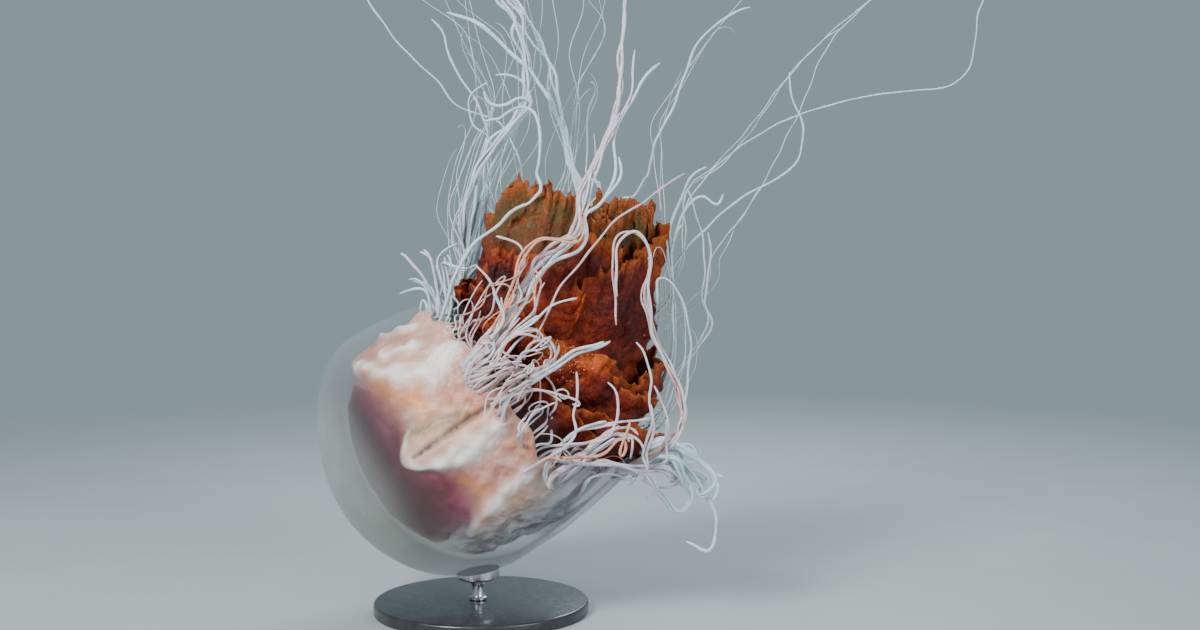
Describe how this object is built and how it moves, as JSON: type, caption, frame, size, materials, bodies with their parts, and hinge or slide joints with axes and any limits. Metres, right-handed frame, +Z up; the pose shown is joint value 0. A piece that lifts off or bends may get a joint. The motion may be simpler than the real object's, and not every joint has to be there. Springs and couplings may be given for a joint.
{
  "type": "lion's mane jellyfish model",
  "caption": "Life-size still model of a swimming lion's mane jellyfish, with its bell, frilled oral arms and trailing tentacles, held on a plain round stand.",
  "frame": {"origin": "centre of the underside of the stand's base", "axes": "+Z up; the bell's top points to -X and down, the tentacles trail to +X and up, and the pictured side faces -Y"},
  "size_m": [0.9036, 0.4616, 1.1338],
  "materials": {
    "bell_jelly": "clear, faintly milky wet jelly",
    "muscle": "cream and pink, soft and wet",
    "stomach": "dark maroon, wet",
    "oral_arm": "rust orange frills, wet",
    "tentacle": "pale, half clear, wet",
    "stand_base": "satin black",
    "stand_rod": "brushed"
  },
  "bodies": {
    "root": {"bell_dome": "bell_jelly", "bell_lobe_1": "bell_jelly", "bell_lobe_2": "bell_jelly", "bell_lobe_3": "bell_jelly", "bell_lobe_4": "bell_jelly", "bell_lobe_5": "bell_jelly", "bell_lobe_6": "bell_jelly", "bell_lobe_7": "bell_jelly", "bell_lobe_8": "bell_jelly", "muscle_folds": "muscle", "oral_arm_1": "oral_arm", "oral_arm_2": "oral_arm", "oral_arm_3": "oral_arm", "oral_arm_4": "oral_arm", "stand_base": "stand_base", "stand_rod": "stand_rod", "stomach": "stomach", "tentacle_1_01": "tentacle", "tentacle_1_02": "tentacle", "tentacle_1_03": "tentacle", "tentacle_1_04": "tentacle", "tentacle_2_05": "tentacle", "tentacle_2_06": "tentacle", "tentacle_2_07": "tentacle", "tentacle_2_08": "tentacle", "tentacle_3_09": "tentacle", "tentacle_3_10": "tentacle", "tentacle_3_11": "tentacle", "tentacle_3_12": "tentacle", "tentacle_4_13": "tentacle", "tentacle_4_14": "tentacle", "tentacle_4_15": "tentacle", "tentacle_4_16": "tentacle", "tentacle_5_17": "tentacle", "tentacle_5_18": "tentacle", "tentacle_5_19": "tentacle", "tentacle_5_20": "tentacle", "tentacle_6_21": "tentacle", "tentacle_6_22": "tentacle", "tentacle_6_23": "tentacle", "tentacle_6_24": "tentacle", "tentacle_7_25": "tentacle", "tentacle_7_26": "tentacle", "tentacle_7_27": "tentacle", "tentacle_7_28": "tentacle", "tentacle_8_29": "tentacle", "tentacle_8_30": "tentacle", "tentacle_8_31": "tentacle", "tentacle_8_32": "tentacle", "tentacle_roots_1": "tentacle", "tentacle_roots_2": "tentacle", "tentacle_roots_3": "tentacle", "tentacle_roots_4": "tentacle", "tentacle_roots_5": "tentacle", "tentacle_roots_6": "tentacle", "tentacle_roots_7": "tentacle", "tentacle_roots_8": "tentacle"}
  },
  "joints": []
}
